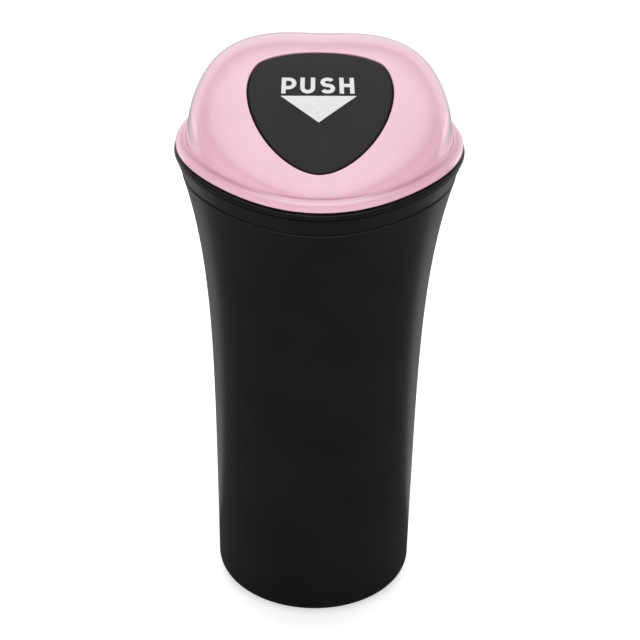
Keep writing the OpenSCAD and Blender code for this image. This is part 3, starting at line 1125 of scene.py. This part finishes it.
# %% [markdown]
# ### The return spring
# A torsion spring sits round the pin between the knuckles: one leg bears on the roof, the
# other presses under the flap. A wire that follows a rule is a good job for Geometry
# Nodes: a line of points is bent by its own index into leg, coil and leg, and becomes a
# tube.

# %% Geometry Nodes: torsion spring
WIRE_D = 0.6
COIL_R = 2.1
COIL_TURNS = 5
FRONT_LEG = 9.0
REAR_LEG = 4.4
COIL_POINTS = 36
PITCH = WIRE_D * 1.5
ROOF_GAP = 0.1
LEG_STEPS = 6
WIRE_SIDES = 14


def torsion_spring():
    """Tree that bends a line into leg, coil and leg, and the keys of its inputs."""
    roof = over_hinge(PITCH / 2 * COIL_TURNS, REAR_LEG, LID_WALL + WIRE_D / 2 + ROOF_GAP)
    group, keys = open_rule("torsion_spring", "Start",
                            {"Turns": COIL_TURNS, "Points a turn": COIL_POINTS},
                            {"Coil radius": COIL_R, "Wire": WIRE_D, "Pitch": PITCH,
                             "Front leg": FRONT_LEG, "Lean": SLOPE,
                             "Roof up the slope": roof.dot(slope_up),
                             "Roof out": roof.dot(slope_out)})
    keys["Hinge"] = group_input(group, "Hinge", "NodeSocketVector", tuple(hinge * MM))
    tree = Tree(group)
    start = tree.add("NodeGroupInput")
    turns = start.pick("Turns")
    each = start.pick("Points a turn")
    wire = start.pick("Wire")
    coil = start.pick("Coil radius")
    pitch_x = start.pick("Pitch")
    count = turns * each + 1
    line = tree.add("GeometryNodeMeshLine", None, {"Count": count + 2 * LEG_STEPS})
    index = tree.add("GeometryNodeInputIndex")
    step = index - LEG_STEPS
    front = index < LEG_STEPS - 0.5
    rear = step > count - 0.5
    coiled = (1 - front) * (1 - rear)
    angle = step / each * math.tau
    x_first = pitch_x * turns * -0.5
    to_front = (LEG_STEPS - index) / LEG_STEPS
    to_rear = (step - count + 1) / LEG_STEPS
    coil_x = x_first + pitch_x * step / each
    x = coil_x * coiled + x_first * front - x_first * rear
    u = coil * angle.sin() * coiled - start.pick("Front leg") * to_front * front
    u = u + start.pick("Roof up the slope") * to_rear * rear
    n = coil * angle.cos() * coiled + coil * front
    n = n + (coil + (start.pick("Roof out") - coil) * to_rear) * rear
    lean = start.pick("Lean")
    y = u * lean.cos() - n * lean.sin()
    z = u * lean.sin() + n * lean.cos()
    spot = tree.add("ShaderNodeVectorMath", {"operation": "ADD"},
                    {0: tree.vector(x * MM, y * MM, z * MM), 1: start.pick("Hinge")})
    bent = tree.add("GeometryNodeSetPosition", None, {"Geometry": line, "Position": spot})
    curve = tree.add("GeometryNodeMeshToCurve", None, {"Mesh": bent})
    ring = tree.add("GeometryNodeCurvePrimitiveCircle", {"mode": "RADIUS"},
                    {"Resolution": WIRE_SIDES, "Radius": wire * (0.5 * MM)})
    tube = tree.add("GeometryNodeCurveToMesh", None,
                    {"Curve": curve, "Profile Curve": ring, "Fill Caps": True})
    close_rule(tree, start, tube)
    return group, keys


SPRING, SPRING_KEYS = torsion_spring()
seed_mesh = bpy.data.meshes.new("spring_start")
seed_mesh.from_pydata([(0, 0, 0)], [], [])
spring = grown_by_nodes("spring", seed_mesh, SPRING, SPRING_KEYS, {"Finish": spring_steel})
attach(spring, "lid")
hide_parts("return_spring")

# %% [markdown]
# ### The pin
# The hinge pin is a plain turned rod and its solid already shows all there is to see, so
# it keeps its CAD shape and only gets the drawn steel.

# %% The pin keeps its CAD shape
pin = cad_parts["hinge_pin"]
pin.data.materials.clear()
pin.data.materials.append(pin_steel)
print("pin", len(pin.data.polygons), "faces")

# %% [markdown]
# ### Floor and background
# The photograph is cut out on white. The floor is a plain matt white sheet; for the camera
# it shows its own light too, so that it is white without any more light on the bin, and it
# still takes the soft shadow under the base. The glossy flanks see the floor as well, and
# they are almost black in the picture, with a paler strip down each side. So a mirrored
# floor is dark in front and glows only behind the bin, brighter far away than near, and
# dimmer straight behind than at either side, which puts the strips where they belong.

# %% Floor
FLOOR_HALF = 4.0
FLOOR_PAPER = ((0.79, 0.79, 0.79), (0.81, 0.81, 0.81))
FLOOR_MIRRORED = (0.12, 0.12, 0.12, 1.0)
FLOOR_SHOWN = 0.5
BEHIND = (0.44, 0.5)
STRAIGHT = (0.5, 0.95)
FAR = (0.3, 0.75)
TO_RIGHT = (-0.1, 0.1)
GLOW_NEAR = 0.4
GLOW_FAR = 0.75
GLOW_LOST_STRAIGHT = 0.62
GLOW_MORE_RIGHT = 0.2


def light_rays(tree):
    """Two sockets: the ray comes from the camera, or it is mirrored or let through."""
    rays = tree.add("ShaderNodeLightPath")
    through = tree.maths("MAXIMUM", rays.pick("Is Glossy Ray"), rays.pick("Is Transmission Ray"))
    return rays.pick("Is Camera Ray"), through


def white_floor():
    material, tree, point = new_finish("studio_floor")
    paper = noise(tree, point, swells=60.0)
    camera_ray, mirrored = light_rays(tree)
    x, y = tree.split(point)[:2]
    away = (x * x + y * y) ** 0.5
    backward = y / away
    glow_far = away.ramp(*FAR) * GLOW_FAR + GLOW_NEAR
    glow_way = 1 - backward.ramp(*STRAIGHT) * GLOW_LOST_STRAIGHT
    glow_side = x.ramp(*TO_RIGHT) * GLOW_MORE_RIGHT + 1
    glow_behind = mirrored * backward.ramp(*BEHIND) * glow_far * glow_way * glow_side
    pale = two_colours(tree, paper, *FLOOR_PAPER)
    colour = tree.add("ShaderNodeMix", {"data_type": "RGBA"},
                      {0: mirrored, 6: pale, 7: FLOOR_MIRRORED}, out=2)
    sheet = tree.add("ShaderNodeBsdfDiffuse", None, {"Color": colour})
    strength = camera_ray * FLOOR_SHOWN + glow_behind
    glow = tree.add("ShaderNodeEmission", None, {"Color": (1, 1, 1, 1), "Strength": strength})
    close_finish(tree, tree.add("ShaderNodeAddShader", None, {0: sheet, 1: glow}))
    return material


def floor_mesh():
    mesh = bpy.data.meshes.new("floor")
    corners = [(x * FLOOR_HALF, y * FLOOR_HALF, 0) for x, y in ((-1, -1), (1, -1), (1, 1), (-1, 1))]
    mesh.from_pydata(corners, [], [(0, 1, 2, 3)])
    mesh.materials.append(white_floor())
    return mesh


floor = link("floor", floor_mesh())
print("floor", 2 * FLOOR_HALF, "m wide")

# %% [markdown]
# ### Light
# Two small soft boxes stand low in front, left and right, and light the flanks; a broad
# one above and behind lights the dome and the sloping face. None of them shows in a
# reflection, where it would be a hard bright spot. The world does the reflecting instead:
# it is white for the camera, an even grey for diffuse light, a little brighter at the
# back, and for glossy rays a dim room with a panel overhead, a backdrop behind and a
# fainter glow beside it. Each pair of numbers below is where a soft edge starts and ends,
# in the direction's own coordinates.

# %% World
ROOM = 0.1
BESIDE = (0.2, 0.5)
BESIDE_LEVEL = 0.35
BACKDROP_BACK = (0.4, 0.5)
BACKDROP_HIGH = (0.46, 0.38)
BACKDROP_LEVEL = 0.4
PANEL_SIDE = (0.65, 0.0)
PANEL_BACK = (-0.6, 0.05)
PANEL_HIGH = (0.5, 0.75)
PANEL_LEVEL = 0.95
OVERHEAD = (0.65, 0.98)
OVERHEAD_LEVEL = 1.2
PLAIN_LEVEL = 0.63
PLAIN_BACK = (0.0, 0.8)
PLAIN_MORE = 0.6


def soft_world():
    world = bpy.data.worlds.new("studio")
    world.use_nodes = True
    world.node_tree.nodes.clear()
    tree = Tree(world.node_tree)
    camera_ray, glossy = light_rays(tree)
    side, back, high = tree.split(tree.add("ShaderNodeTexCoord").pick("Generated"))
    sideways = tree.maths("ABSOLUTE", side)
    backdrop = back.ramp(*BACKDROP_BACK) * high.ramp(*BACKDROP_HIGH)
    panel = sideways.ramp(*PANEL_SIDE) * back.ramp(*PANEL_BACK) * high.ramp(*PANEL_HIGH)
    seen = ROOM + back.ramp(*BESIDE) * BESIDE_LEVEL + backdrop * BACKDROP_LEVEL
    seen = seen + panel * PANEL_LEVEL + high.ramp(*OVERHEAD) * OVERHEAD_LEVEL
    plain = PLAIN_LEVEL + back.ramp(*PLAIN_BACK) * PLAIN_MORE
    strength = camera_ray + glossy * seen + plain * (1 - camera_ray) * (1 - glossy)
    sky = tree.add("ShaderNodeBackground", None, {"Color": (1, 1, 1, 1), "Strength": strength})
    close_finish(tree, sky, "ShaderNodeOutputWorld")
    bpy.context.scene.world = world


soft_world()
print("world", bpy.context.scene.world.name)

# %% Lamps
AIM = Vector((0, 0, 0.12))
SOFT_BOXES = [("box_left", (-0.75, -0.7, 0.22), (0.4, 0.4), 3.8),
              ("box_right", (0.75, -0.7, 0.22), (0.4, 0.4), 3.2),
              ("box_above", (0.0, 0.95, 1.0), (1.6, 1.2), 9.5)]


def soft_box(name, place, size, power):
    lamp = bpy.data.lights.new(name, "AREA")
    lamp.shape = "RECTANGLE"
    lamp.size, lamp.size_y = size
    lamp.energy = power
    holder = bpy.data.objects.new(name, lamp)
    bpy.context.scene.collection.objects.link(holder)
    holder.visible_glossy = False
    aimed = (AIM - Vector(place)).to_track_quat("-Z", "Y").to_matrix().to_4x4()
    holder.matrix_world = Matrix.Translation(Vector(place)) @ aimed
    print(name, power, "W")


for box in SOFT_BOXES:
    soft_box(*box)
bpy.context.scene.view_settings.view_transform = "Standard"
